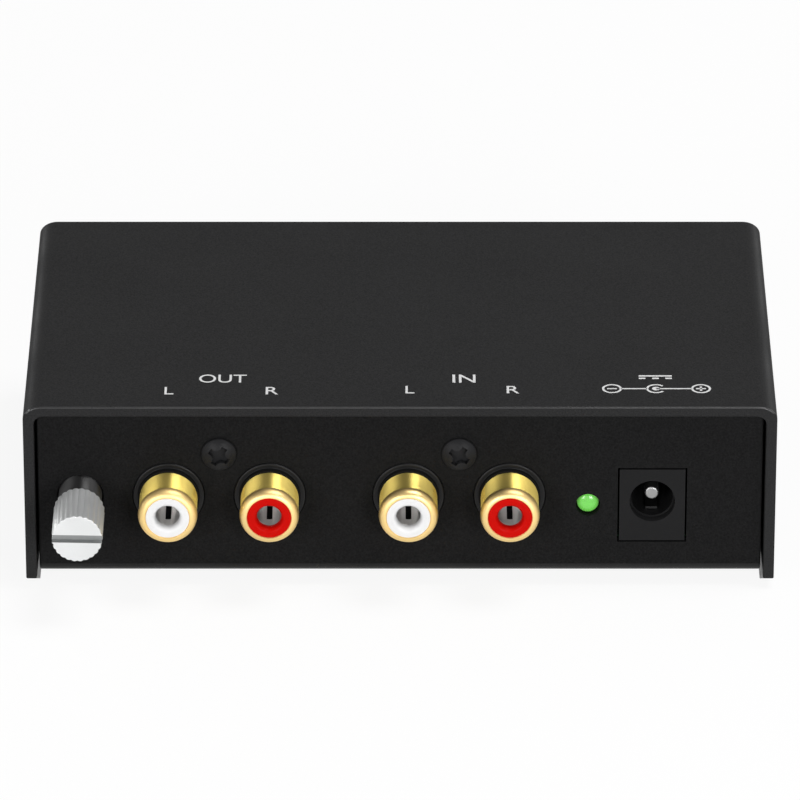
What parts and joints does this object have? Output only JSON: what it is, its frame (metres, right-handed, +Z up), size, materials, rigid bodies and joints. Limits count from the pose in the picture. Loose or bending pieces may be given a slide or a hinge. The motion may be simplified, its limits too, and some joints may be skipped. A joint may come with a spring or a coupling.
{
  "type": "phono preamp",
  "caption": "Small turntable preamplifier in a folded metal case, with phono jacks, a power socket, a lamp and a knurled level control on its front.",
  "frame": {"origin": "on the surface it stands on, under the middle of the overall box", "axes": "+X to the right seen from the front, +Y from the front panel to the back, +Z up"},
  "size_m": [0.104, 0.072, 0.0283],
  "materials": {
    "cover_paint": "fine satin black powder coat",
    "panel_paint": "matt black",
    "black_steel": "black oxide, satin",
    "foot_rubber": "matt",
    "board_laminate": "green solder mask",
    "spacer_brass": "nickelled brass",
    "plain_steel": "zinc plate",
    "black_moulding": "moulded black",
    "gold_plate": "bright gold plate",
    "white_moulding": "moulded white",
    "red_moulding": "moulded red",
    "contact_metal": "nickel plate",
    "green_lens": "diffused green",
    "tinned_wire": "tin plate",
    "brown_moulding": "moulded brown",
    "track_carbon": "printed carbon",
    "shaft_black": "polished black",
    "wiper_brass": "spring brass",
    "knob_plate": "bright plate over knurled plastic",
    "blue_sleeve": "shrink sleeve",
    "black_sleeve": "shrink sleeve",
    "red_dip": "dipped coating",
    "resistor_lacquer": "lacquer"
  },
  "bodies": {
    "case": {"top_cover": "cover_paint", "bottom_tray": "panel_paint", "cover_screws": "black_steel", "rubber_feet": "foot_rubber", "circuit_board": "board_laminate", "board_spacers": "spacer_brass", "board_screws": "plain_steel", "output_jack_body": "black_moulding", "input_jack_body": "black_moulding", "jack_screws": "black_steel", "output_left_shell": "gold_plate", "output_right_shell": "gold_plate", "input_left_shell": "gold_plate", "input_right_shell": "gold_plate", "output_left_insert": "white_moulding", "output_right_insert": "red_moulding", "input_left_insert": "white_moulding", "input_right_insert": "red_moulding", "output_left_contact": "contact_metal", "output_right_contact": "contact_metal", "input_left_contact": "contact_metal", "input_right_contact": "contact_metal", "dc_socket_body": "black_moulding", "dc_centre_pin": "contact_metal", "dc_sleeve_spring": "contact_metal", "dc_switch_tag": "contact_metal", "lamp_lens": "green_lens", "lamp_leads": "tinned_wire", "lamp_holder": "black_moulding", "pot_case": "brown_moulding", "pot_frame": "black_steel", "pot_tracks": "track_carbon", "pot_terminals": "tinned_wire", "amplifier_chips": "black_moulding", "chip_legs": "tinned_wire", "signal_capacitors": "blue_sleeve", "supply_capacitors": "black_sleeve", "film_capacitors": "red_dip", "resistors": "resistor_lacquer", "supply_diode": "black_moulding", "supply_regulator": "black_moulding", "component_leads": "tinned_wire"},
    "knob": {"pot_shaft": "shaft_black", "pot_wipers": "wiper_brass", "level_knob": "knob_plate"}
  },
  "joints": [
    {"name": "level_turn", "type": "hinge", "parent": "case", "child": "knob", "pos_m": [-0.04428, -0.03, 0.0141], "axis": [0, 1, 0], "range_deg": [-150, 150]}
  ]
}
